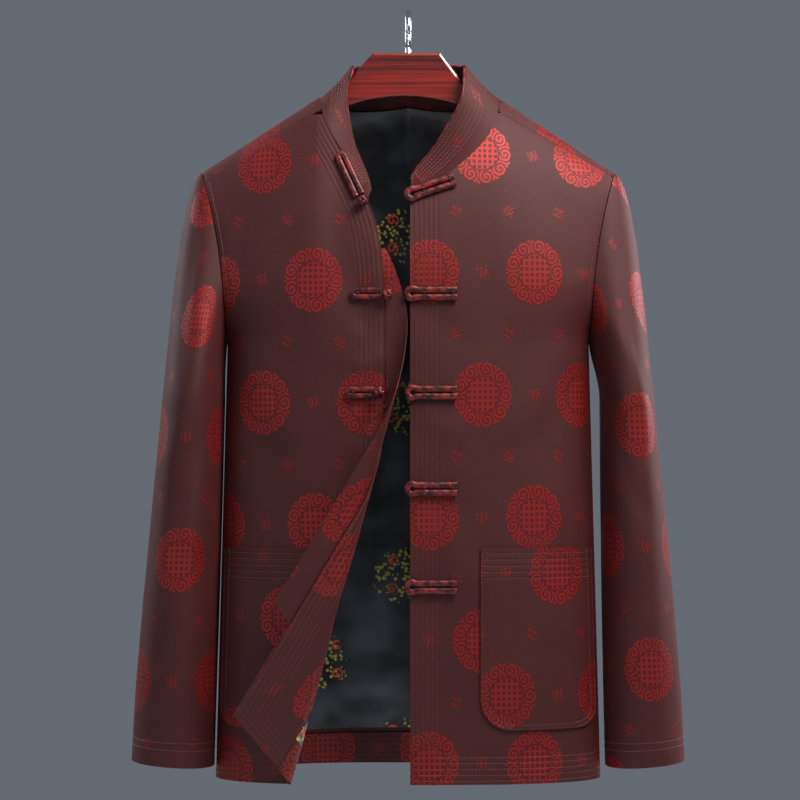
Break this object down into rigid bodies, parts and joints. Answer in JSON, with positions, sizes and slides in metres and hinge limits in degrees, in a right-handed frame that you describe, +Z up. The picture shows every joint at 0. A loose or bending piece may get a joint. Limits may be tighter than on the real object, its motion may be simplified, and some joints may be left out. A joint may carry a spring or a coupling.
{
  "type": "tang jacket on a wooden hanger",
  "caption": "Open stand-collar jacquard jacket with frog fastenings and patch pockets, one corner turned out, hung on a wooden hanger with a metal hook.",
  "frame": {"origin": "inner top of the hanger's hook, where a rail or branch holds it", "axes": "+Z up, +X the wearer's left, -Y the front of the jacket"},
  "size_m": [0.611, 0.242, 0.8491],
  "materials": {
    "jacquard": "dark maroon satin-ground jacquard with lighter red woven roundels and small motifs",
    "rouleau": "bias-cut jacquard turned into cord",
    "lining": "black satin lining with woven sprigs",
    "hanger_wood": "clear lacquer over red stain",
    "hook_metal": "polished plating"
  },
  "bodies": {
    "root": {"back": "jacquard", "front_left": "jacquard", "front_right": "jacquard", "sleeve_left": "jacquard", "sleeve_right": "jacquard", "collar": "jacquard", "pocket_left": "jacquard", "pocket_right": "jacquard", "underlap": "jacquard", "facing_right": "jacquard", "hem_facing_right": "jacquard", "hem_facing_back": "jacquard", "lining_right": "lining", "lining_back": "lining", "collar_piping": "rouleau", "loop_1": "rouleau", "loop_2": "rouleau", "loop_3": "rouleau", "loop_4": "rouleau", "loop_5": "rouleau", "button_tail_1": "rouleau", "button_tail_2": "rouleau", "button_tail_3": "rouleau", "button_tail_4": "rouleau", "button_tail_5": "rouleau", "button_1": "rouleau", "button_2": "rouleau", "button_3": "rouleau", "button_4": "rouleau", "button_5": "rouleau", "hanger": "hanger_wood", "hanger_hook": "hook_metal"}
  },
  "joints": []
}
